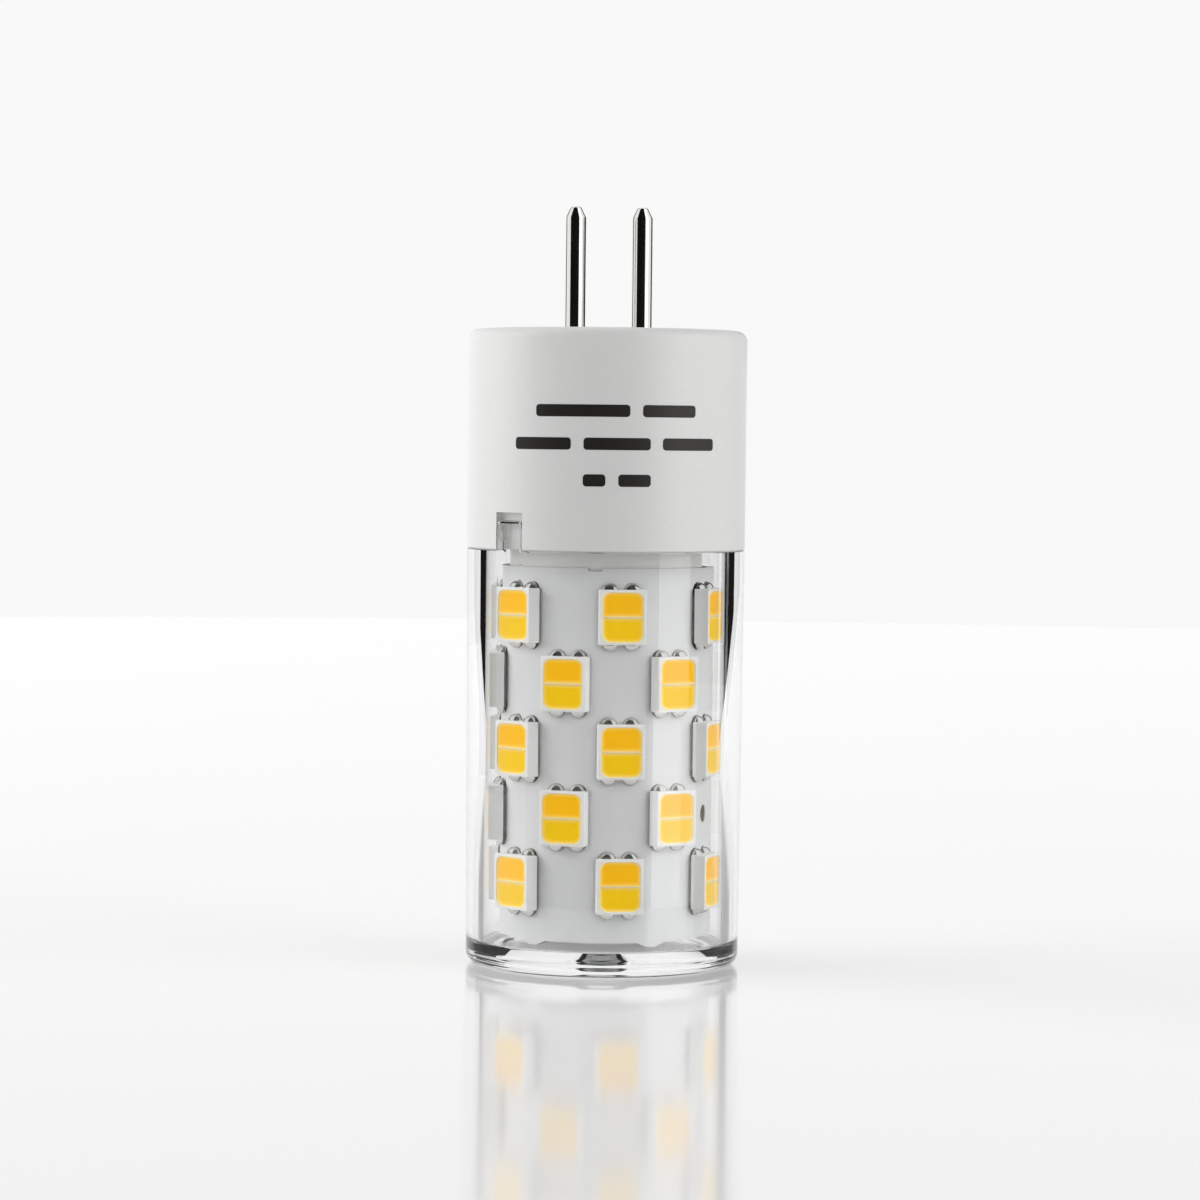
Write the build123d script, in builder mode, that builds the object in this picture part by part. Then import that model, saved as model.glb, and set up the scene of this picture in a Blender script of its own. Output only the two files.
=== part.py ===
from build123d import *
import os
from math import cos, radians, sin, sqrt, tan

# Bi-pin LED bulb, in millimetres.
# The origin is the middle of the cover's flat closed end, +Z runs to the contact pins and the front is -Y.
# Angles round the bulb are in degrees from the front, positive towards +X.

# Outer body
body_radius = 8.25
seam_height = 24.6
seam_bevel = 0.1
round_steps = 3

# Moulded base
base_height = 12.95
base_wall = 1.0
base_top_wall = 1.6
base_edge_radius = 0.6
rib_count = 4
rib_thickness = 1.2
rib_setback = 0.8

# Contact pins
pin_pitch = 4.0
pin_radius = 0.6
pin_reach = 7.3
pin_cone_length = 0.62
pin_tip_radius = 0.38
pin_tip_bevel = 0.12
pin_end_radius = 0.2
pin_shank_radius = 0.8
pin_flange_radius = 1.1
pin_flange_thickness = 0.5
pin_tail = 4.5
pin_fit = 0.02

# Clear cover
cover_wall = 1.0
cover_floor = 1.4
cover_draft = 0.33
cover_foot_radius = 0.7
foot_recess_radius = 6.9
foot_recess_depth = 0.35
foot_recess_slope = 0.15
gate_radius = 1.25
gate_depth = 0.6
gate_shoulder = 0.45

# Keys between the cover and the base
key_angle = -53.0
key_width = 1.95
key_height = 1.67
key_side_clearance = 0.08
key_end_clearance = 0.08
key_recess_height = 0.47
key_recess_depth = 0.5

# LED packages
led_rows = 5
leds_per_row = 6
led_start_angle = 54.2
led_step_angle = -55.5
led_width = 2.6
led_length = 3.2
led_height = 0.77
led_cover_clearance = 0.1
window_width = 2.22
window_length = 2.85
window_depth = 0.3
window_corner = 0.25
window_divider = 0.17
polarity_chamfer = 0.45
phosphor_sink = 0.03
solder_radius = 0.5
solder_spread = 1.24
solder_reach = 0.38
solder_height = 0.4

# Rolled LED board
board_thickness = 0.35
board_collar = 0.94
board_floor_gap = 0.5
board_tab_angle = 60.4
board_tab_length = 2.3
board_end_angle = 84.0
row_margin_top = 2.81
row_margin_bottom = 3.35
nub_height = 0.28
nub_root = 1.8
nub_tip = 0.5
nub_angle = -181.0
nub_step = 66.0
nub_count = 4
edge_notch_angle = -15.0
edge_notch_width = 0.8
edge_notch_depth = 0.18
board_hole_radius = 0.53
board_hole_angle = 60.0
board_hole_row = 3

# Core tube that the board is rolled on
core_wall = 0.75
core_fit = 0.05
core_floor_gap = 0.4
core_engagement = 6.0
rail_width = 0.6
rail_depth = 0.7
rail_fit = 0.05

# Driver board and what is soldered to it
driver_thickness = 1.0
driver_length = 26.0
driver_side_clearance = 0.15
driver_flange_gap = 0.2
pad_thickness = 0.2
bridge_width = 4.4
bridge_length = 3.6
bridge_height = 1.3
bridge_leg_width = 0.6
bridge_leg_pitch = 2.5
bridge_leg_reach = 0.8
bridge_drop = 3.4
diode_width = 1.8
diode_length = 2.8
diode_height = 1.0
diode_tab_width = 1.0
diode_tab_reach = 0.4
diode_drop = 8.2
chip_width = 4.5
chip_length = 2.5
chip_height = 1.5
chip_leg_width = 0.45
chip_leg_pitch = 1.5
chip_leg_reach = 0.9
chip_drop = 12.0
package_bevel = 0.15
capacitor_clearance = 0.5
capacitor_length = 9.0
capacitor_drop = 5.8
capacitor_lead_width = 0.5
capacitor_lead_thickness = 0.3
capacitor_lead_pitch = 2.0
capacitor_lead_drop = 1.2
inductor_size = 4.0
inductor_corner = 0.6
inductor_height = 2.0
inductor_drop = 19.6
resistor_width = 3.2
resistor_length = 1.6
resistor_height = 0.6
resistor_drop = 24.0
wire_radius = 0.4
wire_spread = 2.4
wire_drop = 15.65
wire_clearance = 0.1
wire_end_gap = 0.03
joint_reach = 0.5
joint_rise = 0.7
joint_length = 1.8
joint_drop = 1.5
joint_fit = 0.02

# Heights and radii that follow from the sizes above
base_top = seam_height + base_height
base_bore = body_radius - base_wall
base_ceiling = base_top - base_top_wall
foot_radius = body_radius - seam_height * tan(radians(cover_draft))
cover_bore = foot_radius - cover_wall
led_corner = cover_bore - led_cover_clearance
board_radius = sqrt(led_corner**2 - (led_width / 2) ** 2) - led_height
board_bore = board_radius - board_thickness
core_radius = board_bore - core_fit
core_bore = core_radius - core_wall
core_top = seam_height + core_engagement
core_bottom = cover_floor + core_floor_gap
board_top = seam_height - board_collar
board_bottom = cover_floor + board_floor_gap
row_pitch = (board_top - board_bottom - row_margin_top - row_margin_bottom) / (led_rows - 1)
driver_front = pin_radius
driver_back = driver_front + driver_thickness
driver_half_width = sqrt(core_bore**2 - driver_back**2) - driver_side_clearance
driver_top = base_ceiling - pin_flange_thickness - driver_flange_gap
capacitor_radius = (core_bore - capacitor_clearance + driver_front) / 2
through = 2 * body_radius


def outward(angle, radius, height):
    """A plane that faces away from the bulb's axis, with its own x along the wall and its own y upwards."""
    turn = radians(angle)
    return Plane(
        origin=(radius * sin(turn), -radius * cos(turn), height),
        x_dir=(cos(turn), sin(turn), 0),
        z_dir=(sin(turn), -cos(turn), 0),
    )


def quarter_round(centre_x, centre_z, radius, start):
    """Points of a rounded edge in short straight steps, from the start angle a quarter turn on."""
    turns = [radians(start + 90 * step / round_steps) for step in range(round_steps + 1)]
    return [(centre_x + radius * cos(turn), centre_z + radius * sin(turn)) for turn in turns]


def row_height(row):
    return board_top - row_margin_top - row * row_pitch


def row_seats(row):
    """The planes under the LEDs of one row; every second row is turned by half a step."""
    first = led_start_angle + (row % 2) * led_step_angle / 2
    angles = [first + column * led_step_angle for column in range(leds_per_row)]
    return [outward(angle, board_radius, row_height(row)) for angle in angles]


def save(piece, name):
    piece.part.label = name
    export_step(piece.part, "parts/" + name + ".step")


os.makedirs("parts", exist_ok=True)
front_face = Plane(origin=(0, driver_front, driver_top), x_dir=(1, 0, 0), z_dir=(0, -1, 0))
back_face = Plane(origin=(0, driver_back, driver_top), x_dir=(-1, 0, 0), z_dir=(0, 1, 0))
seats = [row_seats(row) for row in range(led_rows)]

# Base housing: a cap with a rounded top edge, ribs that hold the core tube, pin holes, key slots and their recesses
with BuildPart() as base_housing:
    edge_centre = (body_radius - base_edge_radius, base_top - base_edge_radius)
    with BuildSketch(Plane.XZ):
        with BuildLine():
            Polyline(
                (0, seam_height),
                (body_radius - seam_bevel, seam_height),
                (body_radius, seam_height + seam_bevel),
                *quarter_round(*edge_centre, base_edge_radius, 0),
                (0, base_top),
                close=True,
            )
        make_face()
    revolve(axis=Axis.Z)
    with BuildSketch(Plane.XY.offset(seam_height)):
        Circle(base_bore)
    extrude(amount=base_height - base_top_wall, mode=Mode.SUBTRACT)
    rib_length = base_bore + base_wall / 2 - core_bore
    rib_start = key_angle - 90 + 180 / rib_count
    with BuildSketch(Plane.XY.offset(seam_height + rib_setback)):
        with PolarLocations(core_bore + rib_length / 2, rib_count, start_angle=rib_start):
            Rectangle(rib_length, rib_thickness)
    extrude(amount=base_ceiling - seam_height - rib_setback)
    with BuildSketch(Plane.XY.offset(seam_height)):
        Circle(core_radius + core_fit)
    extrude(amount=core_engagement, mode=Mode.SUBTRACT)
    with BuildSketch(Plane.XY.offset(base_ceiling)):
        with GridLocations(pin_pitch, 0, 2, 1):
            Circle(pin_shank_radius + pin_fit)
    extrude(amount=base_top_wall, mode=Mode.SUBTRACT)
    slot_width = key_width + 2 * key_side_clearance
    slot_height = key_height + key_end_clearance
    with BuildSketch(Plane.XY.offset(seam_height)):
        Rectangle(2 * through, slot_width, rotation=key_angle - 90)
    extrude(amount=slot_height, mode=Mode.SUBTRACT)
    with BuildSketch(Plane.XY.offset(seam_height + slot_height)):
        Rectangle(2 * through, slot_width, rotation=key_angle - 90)
        Rectangle(2 * (body_radius - key_recess_depth), slot_width, rotation=key_angle - 90, mode=Mode.SUBTRACT)
    extrude(amount=key_recess_height, mode=Mode.SUBTRACT)
save(base_housing, "base_housing")

# Contact pins: a thick shank in the base, a flange under its top wall, a soldered tail and a coned free end
pin_sides = {"contact_pin_left": -pin_pitch / 2, "contact_pin_right": pin_pitch / 2}
for pin_name, pin_x in pin_sides.items():
    flange_bottom = base_ceiling - pin_flange_thickness
    pin_end = base_top + pin_reach
    with BuildPart() as contact_pin:
        with BuildSketch(Plane.XZ):
            with BuildLine():
                Polyline(
                    (pin_x, base_ceiling - pin_tail),
                    (pin_x + pin_radius, base_ceiling - pin_tail),
                    (pin_x + pin_radius, flange_bottom),
                    (pin_x + pin_flange_radius, flange_bottom),
                    (pin_x + pin_flange_radius, base_ceiling),
                    (pin_x + pin_shank_radius, base_ceiling),
                    (pin_x + pin_shank_radius, base_top),
                    (pin_x + pin_radius, base_top),
                    (pin_x + pin_radius, pin_end - pin_cone_length),
                    (pin_x + pin_tip_radius, pin_end - pin_tip_bevel),
                    (pin_x + pin_end_radius, pin_end),
                    (pin_x, pin_end),
                    close=True,
                )
            make_face()
        revolve(axis=Axis((pin_x, 0, 0), (0, 0, 1)))
    save(contact_pin, pin_name)

# Clear cover: a cup with a drafted outside, a thick floor, a hollow foot with a gate mark and two keys on its rim
with BuildPart() as clear_cover:
    foot_centre = (foot_radius - cover_foot_radius, cover_foot_radius)
    gate_top = foot_recess_depth + gate_depth
    with BuildSketch(Plane.XZ):
        with BuildLine():
            Polyline(
                (0, gate_top),
                (gate_radius - gate_shoulder, gate_top),
                (gate_radius, foot_recess_depth),
                (foot_recess_radius, foot_recess_depth),
                (foot_recess_radius + foot_recess_slope, 0),
                *quarter_round(*foot_centre, cover_foot_radius, -90),
                (body_radius, seam_height - seam_bevel),
                (body_radius - seam_bevel, seam_height),
                (cover_bore, seam_height),
                (cover_bore, cover_floor),
                (0, cover_floor),
                close=True,
            )
        make_face()
    revolve(axis=Axis.Z)
    with BuildSketch(Plane.XY.offset(seam_height - seam_bevel)):
        Circle(body_radius)
        Circle(cover_bore, mode=Mode.SUBTRACT)
        Rectangle(2 * through, key_width, rotation=key_angle - 90, mode=Mode.INTERSECT)
    extrude(amount=key_height + seam_bevel)
save(clear_cover, "clear_cover")

# Core tube: a moulded tube with rails for the driver board, two wire holes at the back and a tooling hole
with BuildSketch() as core_rails:
    with Locations((0, (driver_front + driver_back) / 2)):
        Rectangle(through, driver_thickness + 2 * (rail_fit + rail_width))
        Rectangle(through, driver_thickness + 2 * rail_fit, mode=Mode.SUBTRACT)
        Rectangle(2 * (driver_half_width - rail_depth), through, mode=Mode.SUBTRACT)
    Circle(core_bore + core_wall / 2, mode=Mode.INTERSECT)
with BuildPart() as core_tube:
    with BuildSketch(Plane.XY.offset(core_bottom)):
        Circle(core_radius)
        Circle(core_bore, mode=Mode.SUBTRACT)
        add(core_rails.sketch)
    extrude(amount=core_top - core_bottom)
    with BuildSketch(Plane.XZ):
        with Locations((0, driver_top - wire_drop)):
            with GridLocations(wire_spread, 0, 2, 1):
                Circle(wire_radius + wire_clearance)
    extrude(amount=-through, mode=Mode.SUBTRACT)
    with BuildSketch(outward(board_hole_angle, 0, row_height(board_hole_row))):
        Circle(board_hole_radius)
    extrude(amount=through, mode=Mode.SUBTRACT)
save(core_tube, "core_tube")

# Rolled LED board: a thin tube whose one end springs off straight, with break-off nubs, a notch and a tooling hole
with BuildPart() as board_nubs:
    for nub in range(nub_count):
        with BuildSketch(outward(nub_angle + nub * nub_step, 0, board_bottom)):
            with BuildLine():
                Polyline(
                    (-nub_root / 2, 0),
                    (-nub_tip / 2, -nub_height),
                    (nub_tip / 2, -nub_height),
                    (nub_root / 2, 0),
                    close=True,
                )
            make_face()
        extrude(amount=through)
    with BuildSketch(Plane.XY.offset(board_bottom - nub_height)):
        Circle(board_radius)
        Circle(board_bore, mode=Mode.SUBTRACT)
    extrude(amount=nub_height, mode=Mode.INTERSECT)
tab_turn = radians(board_tab_angle)
end_turn = radians(board_end_angle)
tab_root = (board_radius * sin(tab_turn), -board_radius * cos(tab_turn), 0)
with BuildPart() as led_board:
    with BuildSketch(Plane.XY.offset(board_bottom)):
        Circle(board_radius)
        Circle(board_bore, mode=Mode.SUBTRACT)
        with BuildLine():
            Polyline(
                (0, 0),
                (through * sin(tab_turn), -through * cos(tab_turn)),
                (through * sin(end_turn), -through * cos(end_turn)),
                close=True,
            )
        make_face(mode=Mode.SUBTRACT)
        with Locations(Location(tab_root, (0, 0, board_tab_angle))):
            Rectangle(board_tab_length, board_thickness, align=(Align.MIN, Align.MIN))
    extrude(amount=board_top - board_bottom)
    add(board_nubs.part)
    with BuildSketch(outward(edge_notch_angle, 0, board_top)):
        Rectangle(edge_notch_width, 2 * edge_notch_depth)
    extrude(amount=through, mode=Mode.SUBTRACT)
    with BuildSketch(outward(board_hole_angle, 0, row_height(board_hole_row))):
        Circle(board_hole_radius)
    extrude(amount=through, mode=Mode.SUBTRACT)
save(led_board, "led_board")

# The two chambers of an LED's face; one outer corner is cut off to mark the polarity
chamber_length = (window_length - window_divider) / 2
chamber_shift = (window_divider + chamber_length) / 2
with BuildSketch() as warm_window:
    with Locations((0, chamber_shift)):
        Rectangle(window_width, chamber_length)
    chamfer(warm_window.vertices().group_by(Axis.Y)[-1], window_corner)
with BuildSketch() as cool_window:
    with Locations((0, -chamber_shift)):
        Rectangle(window_width, chamber_length)
    chamfer(cool_window.vertices().group_by(Axis.Y)[0].sort_by(Axis.X)[-1], window_corner)
    chamfer(cool_window.vertices().sort_by(Axis.X)[0:2].sort_by(Axis.Y)[0], polarity_chamfer)

# LED packages: white frames with two pockets, one node each
for row in range(led_rows):
    for column, seat in enumerate(seats[row]):
        with BuildPart() as led_package:
            with BuildSketch(seat):
                Rectangle(led_width, led_length)
            extrude(amount=led_height)
            with BuildSketch(seat.offset(led_height)):
                add(warm_window.sketch)
                add(cool_window.sketch)
            extrude(amount=-window_depth, mode=Mode.SUBTRACT)
        save(led_package, f"led_package_r{row + 1}_c{column + 1}")

# Phosphor fillings: all upper chambers in one node, all lower chambers in the other
pocket_floors = [seat.offset(led_height - window_depth) for row in seats for seat in row]
with BuildPart() as warm_phosphor:
    with BuildSketch(*pocket_floors):
        add(warm_window.sketch)
    extrude(amount=window_depth - phosphor_sink)
save(warm_phosphor, "warm_phosphor")
with BuildPart() as cool_phosphor:
    with BuildSketch(*pocket_floors):
        add(cool_window.sketch)
    extrude(amount=window_depth - phosphor_sink)
save(cool_phosphor, "cool_phosphor")

# Solder fillets: four small ears at the ends of each LED, one node for a row
for row in range(led_rows):
    with BuildPart() as solder_row:
        with BuildSketch(*seats[row]):
            with GridLocations(solder_spread, led_length + 2 * (solder_reach - solder_radius), 2, 2):
                RegularPolygon(solder_radius, 6, major_radius=False)
            Rectangle(led_width, led_length, mode=Mode.SUBTRACT)
        extrude(amount=solder_height)
    save(solder_row, f"solder_row_{row + 1}")

# Driver board: a narrow upright board whose front face lies against both pin tails
with BuildPart() as driver_board:
    with BuildSketch(front_face):
        Rectangle(2 * driver_half_width, driver_length, align=(Align.CENTER, Align.MAX))
    extrude(amount=-driver_thickness)
save(driver_board, "driver_board")

# Solder between each pin tail and the driver board, a fillet on both sides of the pin
with BuildPart() as pin_solder:
    with BuildSketch(Plane.XY.offset(driver_top - joint_drop - joint_length)):
        for pin_x in pin_sides.values():
            with BuildLine():
                Polyline(
                    (pin_x - pin_radius - joint_reach, driver_front),
                    (pin_x - pin_radius, driver_front - joint_rise),
                    (pin_x + pin_radius, driver_front - joint_rise),
                    (pin_x + pin_radius + joint_reach, driver_front),
                    close=True,
                )
            make_face()
        with GridLocations(pin_pitch, 0, 2, 1):
            Circle(pin_radius + joint_fit, mode=Mode.SUBTRACT)
            Rectangle(2 * pin_radius, 2 * pin_radius, align=(Align.CENTER, Align.MAX), mode=Mode.SUBTRACT)
    extrude(amount=joint_length)
save(pin_solder, "pin_solder")

# Bridge rectifier on the board's back
with BuildPart() as bridge_rectifier:
    with BuildSketch(back_face):
        with Locations((0, -bridge_drop)):
            Rectangle(bridge_width, bridge_length)
    extrude(amount=bridge_height)
    chamfer(bridge_rectifier.faces().sort_by(Axis.Y)[-1].edges(), package_bevel)
    with BuildSketch(back_face):
        with Locations((0, -bridge_drop)):
            with GridLocations(bridge_leg_pitch, 0, 2, 1):
                Rectangle(bridge_leg_width, bridge_length + 2 * bridge_leg_reach)
    extrude(amount=pad_thickness)
save(bridge_rectifier, "bridge_rectifier")

# Freewheel diode on the board's back
with BuildPart() as freewheel_diode:
    with BuildSketch(back_face):
        with Locations((0, -diode_drop)):
            Rectangle(diode_length, diode_width)
    extrude(amount=diode_height)
    chamfer(freewheel_diode.faces().sort_by(Axis.Y)[-1].edges(), package_bevel)
    with BuildSketch(back_face):
        with Locations((0, -diode_drop)):
            Rectangle(diode_length + 2 * diode_tab_reach, diode_tab_width)
    extrude(amount=pad_thickness)
save(freewheel_diode, "freewheel_diode")

# Driver chip on the board's back, with three legs below it and a heat tab above
with BuildPart() as driver_chip:
    with BuildSketch(back_face):
        with Locations((0, -chip_drop)):
            Rectangle(chip_width, chip_length)
    extrude(amount=chip_height)
    chamfer(driver_chip.faces().sort_by(Axis.Y)[-1].edges(), package_bevel)
    with BuildSketch(back_face):
        with Locations((0, -chip_drop)):
            with GridLocations(chip_leg_pitch, 0, 3, 1):
                Rectangle(chip_leg_width, chip_length / 2 + chip_leg_reach, align=(Align.CENTER, Align.MAX))
            Rectangle(chip_leg_pitch, chip_length / 2 + chip_leg_reach, align=(Align.CENTER, Align.MIN))
    extrude(amount=pad_thickness)
save(driver_chip, "driver_chip")

# Filter capacitor: a can that lies along the board's front, with two flat leads bent to the board
with BuildPart() as filter_capacitor:
    can_axis_y = driver_front - capacitor_radius
    can_bottom = driver_top - capacitor_drop - capacitor_length
    with BuildSketch(Plane.XY.offset(can_bottom)):
        with Locations((0, can_axis_y)):
            Circle(capacitor_radius)
    extrude(amount=capacitor_length)
    for lead_x in (-capacitor_lead_pitch / 2, capacitor_lead_pitch / 2):
        with BuildSketch(Plane.YZ.offset(lead_x)):
            with Locations((can_axis_y, can_bottom)):
                Rectangle(capacitor_lead_thickness, capacitor_lead_drop, align=(Align.MIN, Align.MAX))
            with Locations((can_axis_y, can_bottom - capacitor_lead_drop)):
                Rectangle(capacitor_radius, capacitor_lead_thickness, align=(Align.MIN, Align.MIN))
        extrude(amount=capacitor_lead_width / 2, both=True)
save(filter_capacitor, "filter_capacitor")

# Power inductor and sense resistor on the board's front
with BuildPart() as power_inductor:
    with BuildSketch(front_face):
        with Locations((0, -inductor_drop)):
            Rectangle(inductor_size, inductor_size)
    extrude(amount=inductor_height)
    chamfer(power_inductor.edges().filter_by(Axis.Y), inductor_corner)
    chamfer(power_inductor.faces().sort_by(Axis.Y)[0].edges(), package_bevel)
save(power_inductor, "power_inductor")
with BuildPart() as sense_resistor:
    with BuildSketch(front_face):
        with Locations((0, -resistor_drop)):
            Rectangle(resistor_width, resistor_length)
    extrude(amount=resistor_height)
save(sense_resistor, "sense_resistor")

# Lead wires: from the driver board's back, through the core tube, to the inside of the LED board
wire_edge = wire_spread / 2 + wire_radius
wire_length = sqrt(board_bore**2 - wire_edge**2) - wire_end_gap - driver_back
wire_sides = {"lead_wire_positive": -wire_spread / 2, "lead_wire_negative": wire_spread / 2}
for wire_name, wire_x in wire_sides.items():
    with BuildPart() as lead_wire:
        with BuildSketch(back_face):
            with Locations((-wire_x, -wire_drop)):
                Circle(wire_radius)
        extrude(amount=wire_length)
    save(lead_wire, wire_name)
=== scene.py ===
"""Bi-pin LED bulb: its looks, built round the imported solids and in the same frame."""

from math import asin, atan2, cos, degrees, hypot, pi, radians, sin, tan

import bmesh
import bpy
from mathutils import Matrix, Vector


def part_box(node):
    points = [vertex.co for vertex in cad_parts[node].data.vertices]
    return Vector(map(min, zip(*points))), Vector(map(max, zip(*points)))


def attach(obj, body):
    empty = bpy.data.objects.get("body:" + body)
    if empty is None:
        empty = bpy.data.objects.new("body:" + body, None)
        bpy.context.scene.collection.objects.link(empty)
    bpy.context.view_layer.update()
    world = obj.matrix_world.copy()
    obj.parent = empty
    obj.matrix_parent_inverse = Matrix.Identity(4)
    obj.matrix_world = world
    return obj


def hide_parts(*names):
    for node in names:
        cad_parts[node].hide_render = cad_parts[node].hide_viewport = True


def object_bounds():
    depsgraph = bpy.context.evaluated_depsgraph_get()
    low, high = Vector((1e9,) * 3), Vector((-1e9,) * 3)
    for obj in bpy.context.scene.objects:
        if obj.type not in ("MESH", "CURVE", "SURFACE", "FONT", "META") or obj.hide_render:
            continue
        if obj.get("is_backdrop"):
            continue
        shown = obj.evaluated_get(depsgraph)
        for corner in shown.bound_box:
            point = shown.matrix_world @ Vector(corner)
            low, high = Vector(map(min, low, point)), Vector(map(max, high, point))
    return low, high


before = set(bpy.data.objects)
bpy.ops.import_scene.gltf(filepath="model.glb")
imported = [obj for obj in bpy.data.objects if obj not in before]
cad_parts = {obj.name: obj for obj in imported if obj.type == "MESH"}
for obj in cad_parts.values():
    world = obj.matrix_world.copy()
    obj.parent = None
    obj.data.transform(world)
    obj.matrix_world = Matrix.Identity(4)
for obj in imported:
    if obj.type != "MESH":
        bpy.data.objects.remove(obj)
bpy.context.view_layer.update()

# Lengths are in millimetres and angles in degrees, unless a name says otherwise.
# Angles round the bulb are from the front (-Y), positive towards +X.
MM = 0.001
TINY = 1e-6


def node_box(node):
    """The low and the high corner of a solid's box."""
    low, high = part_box(node)
    return low / MM, high / MM


# Sizes that the frame gives
base_low, base_high = node_box("base_housing")
pin_low, pin_high = node_box("contact_pin_right")
led_low, led_high = node_box("led_package_r1_c1")
body_radius = base_high.x
seam = base_low.z
base_top = base_high.z
key_top = node_box("clear_cover")[1].z
pin_x = (pin_low.x + pin_high.x) / 2
led_length = led_high.z - led_low.z
led_middle = (led_low + led_high) / 2

# Meshes: the support is the distance of a helping loop from a rounded edge
sharp_angle = 35.0
arc_steps = 8
corner_steps = 6
support = 0.06

# Moulded base
base_wall = 1.0
base_top_wall = 1.6
base_edge_radius = 0.6
seam_bevel = 0.1
base_columns = 256
base_bore = body_radius - base_wall
base_ceiling = base_top - base_top_wall

# Clear cover
foot_radius = 8.108
foot_round = 0.7
foot_steps = 12
cover_wall = 1.0
cover_floor = 1.4
floor_corner = 0.12
floor_corner_steps = 10
rim_bevel = 0.03
recess_radius = 6.9
recess_depth = 0.35
recess_slope = 0.15
gate_radius = 1.25
gate_depth = 0.6
gate_shoulder = 0.45
gate_soft = 0.5
gate_steps = 6
wall_columns = 166

# Keys, whose half turn is in radians
key_angle = -53.0
key_width = 1.95
key_side_clearance = 0.08
key_end_clearance = 0.08
key_recess_height = 0.47
key_recess_depth = 0.5
key_edge_radius = 0.12
key_edge_steps = 3
key_columns = 14
key_half_turn = asin(key_width / 2 / body_radius)
pocket_back = 6.98
pocket_wall = 0.4
pocket_overlap = 0.2

# Pins
pin_radius = 0.6
pin_shank_radius = 0.8
pin_flange_radius = 1.1
pin_flange_thickness = 0.5
pin_cone_length = 0.62
pin_tip_radius = 0.38
pin_tip_round = 0.2
pin_tip_turn = 24.0
pin_hole_length = 4 * base_top_wall
pin_columns = 72

# LED packages
led_rows = 5
leds_per_row = 6
led_width = 2.6
led_height = 0.77
led_corner = 0.08
led_edge = 0.05
led_edge_share = 0.3
led_undercut = 0.05
led_foot_step = 0.02
window_width = 2.22
window_length = 2.85
window_depth = 0.3
window_corner = 0.45
window_cut_corner = 0.5
window_flare = 0.06
window_slope = 0.08
window_tints = (0.15, 0.8, 1.0)

# Divider of the window
divider_width = 0.13
divider_corner = divider_width / 4
divider_overlap = 0.1
divider_sunk = 0.05
divider_shoulder = 0.04
divider_crest = 0.01
divider_taper = 0.08
divider_crest_corner = 0.02
divider_tints = (0.9, 0.9, 0.7)

# Phosphor fillings: inset, share of the edge's colour and share of the dip of each ring, edge first
pad_rings = (
    (0.0, 1.0, 0.0),
    (0.05, 0.75, 0.35),
    (0.1, 0.4, 0.65),
    (0.17, 0.1, 0.9),
    (0.26, 0.0, 1.0),
    (0.4, 0.0, 1.0),
)
phosphor_sink = 0.03
phosphor_dip = 0.03
chamber_corner = 0.04
chamber_length = (window_length - divider_width) / 2
chamber_shift = (divider_width + chamber_length) / 2

# Rolled board
board_radius = hypot(led_middle.x, led_middle.y) - led_height / 2
board_mask = 0.03

# Solder ears: radius and height of each ring, from the board to the tip
ear_rings = (
    (0.51, -0.12),
    (0.505, 0.02),
    (0.49, 0.1),
    (0.455, 0.19),
    (0.39, 0.27),
    (0.29, 0.34),
    (0.155, 0.385),
    (0, 0.4),
)
# Height of the ears' dark foot: flux residue and painted shade.
ear_flux_and_shade_height = 0.06
ear_spread = 1.24
ear_inset = 0.12
ear_columns = 28

# Printed bars on the base: height of each line, and the lengths of its bars
print_lines = ((32.75, (5.6, 3.4)), (30.85, (3.6, 3.9, 3.6)), (28.75, (1.3, 1.9)))
print_angle = -5.5
print_gap = 0.75
print_height = 0.7
print_corner = 0.2
print_proud = 0.012
print_sunk = 0.03
print_columns = 40

# Materials
white = (1, 1, 1, 1)
noise_detail = 5
shade_span = (0.3, 0.7)
gloss_spread = 0.12
grain_depth = 0.004
cover_colour = (0.985, 0.99, 0.988, 1)
cover_refraction = 1.57
cover_haze = 0.02
wave_grain = 4.0
wave_detail = 2
wave_strength = 0.06
wave_depth = 0.02

# Camera
camera_turn = -9.6
camera_offset = (-0.315, -235.2, 31.3)
camera_pitch = 2.372
camera_roll = 0.607
camera_sensor = 36.0
camera_focal_px = 3960.0
camera_clip_m = 0.01
photo_width_px = 1200.0

# Floor
floor_radius = 440.0
floor_drop = 0.02
floor_columns = 160
floor_glow = 0.14

# Cards round the bulb, with angles from the camera's side
# Material, first and last angle, radius, heights of the lower edge at those angles, and top
cards = {
    "front_card": ("black", (-61, 37), 40.0, (36.5, 36.5), 400.0),
    "front_low_card": ("dim", (-61, 37), 40.0, (0, 0), 36.5),
    "left_grey_card": ("grey", (-61, -110), 130.0, (0, 0), 30.0),
    "left_low_card": ("black", (-110, -125), 130.0, (0, 0), 30.0),
    "left_card": ("black", (-125, -138), 180.0, (2, 13), 22.0),
    "left_foot_card": ("black", (-117, -134), 180.0, (22, 22), 400.0),
    "right_low_card": ("black", (40, 118), 251.0, (0, 0), 30.0),
    "left_deep_card": ("deep", (-138, -151), 180.0, (2, 13), 30.0),
    "right_deep_card": ("deep", (146, 159), 180.0, (8, 15), 30.0),
    "right_card": ("wall", (121, 146), 180.0, (1, 15), 22.0),
    "right_foot_card": ("black", (118, 142), 180.0, (22, 22), 400.0),
    "pin_card": ("black", (142, 172), 30.0, (36.5, 36.5), 48.0),
    "bright_panel": ("panel", (44, 73), 250.0, (0, 0), 400.0),
    "low_panel": ("bright", (37, 75), 40.0, (0, 0), 13.0),
}
gloss_only_cards = ("bright_panel", "low_panel")
card_colour = (0.013, 0.013, 0.012)
card_roughness = 0.9
card_grain = 30.0
dim_radiance = 0.07
grey_radiance = 0.25
bright_radiance = 1.8
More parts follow.
